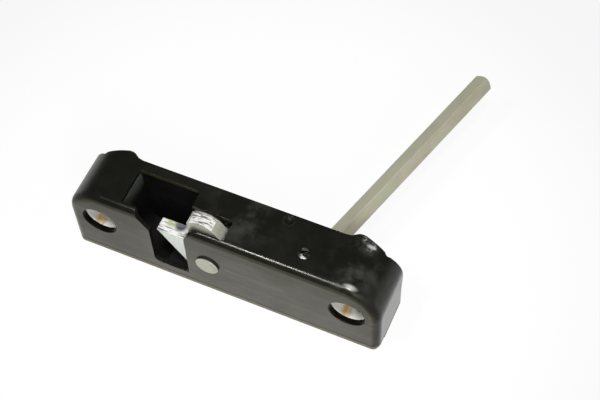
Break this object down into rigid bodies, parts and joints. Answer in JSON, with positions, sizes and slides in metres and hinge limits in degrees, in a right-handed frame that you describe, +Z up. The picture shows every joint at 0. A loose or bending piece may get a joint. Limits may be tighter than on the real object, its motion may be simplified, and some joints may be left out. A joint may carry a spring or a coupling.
{
  "type": "tailgate lock",
  "caption": "Rotary claw lock in a black pressed steel casing with a striker mouth, two fixing holes and a long square spindle that swings on its hub.",
  "frame": {"origin": "midway between the two fixing bolts, on the plane that the lock is bolted against", "axes": "+X along the casing, +Y out of the back towards the spindle, +Z up towards the striker mouth"},
  "size_m": [0.1448, 0.1325, 0.0469],
  "materials": {
    "black_paint": "semi-gloss",
    "zinc_plate": "bright zinc plate",
    "yellow_zinc": "yellow zinc plate",
    "dull_zinc": "dull zinc plate",
    "spring_steel": "oiled wire",
    "bronze": "turned",
    "black_rubber": "matt"
  },
  "bodies": {
    "frame_body": {"casing": "black_paint", "back_plate": "black_paint", "throat_guide": "black_paint", "fixing_ferrule_left": "yellow_zinc", "fixing_ferrule_right": "yellow_zinc", "claw_pivot": "dull_zinc", "claw_washer": "zinc_plate", "claw_spacer": "zinc_plate", "claw_spring": "spring_steel", "claw_spring_post": "zinc_plate", "claw_buffer": "black_rubber", "pawl_spring": "spring_steel", "pawl_spring_post": "zinc_plate", "hub_bush": "bronze", "thrust_washer": "bronze"},
    "claw_body": {"claw": "zinc_plate"},
    "hub_body": {"hub": "zinc_plate", "pawl": "zinc_plate", "pawl_peg": "zinc_plate", "cross_pin": "zinc_plate"},
    "spindle_body": {"spindle": "dull_zinc"}
  },
  "joints": [
    {"name": "claw_turn", "type": "hinge", "parent": "frame_body", "child": "claw_body", "pos_m": [-0.006, -0.0217, -0.0024], "axis": [0, -1, 0], "range_deg": [0, 56.5], "stiffness_Nm_per_rad": 0.05, "springref_deg": -34.38, "deforming": ["claw_spring"]},
    {"name": "hub_turn", "type": "hinge", "parent": "frame_body", "child": "hub_body", "pos_m": [0.0343, -0.0175, 0.0032], "axis": [0, 1, 0], "range_deg": [-8, 9], "stiffness_Nm_per_rad": 0.4, "deforming": ["pawl_spring"]},
    {"name": "spindle_swing", "type": "hinge", "parent": "hub_body", "child": "spindle_body", "pos_m": [0.0343, -0.0175, 0.0032], "axis": [0, 0, 1], "range_deg": [0, 32.6]}
  ]
}
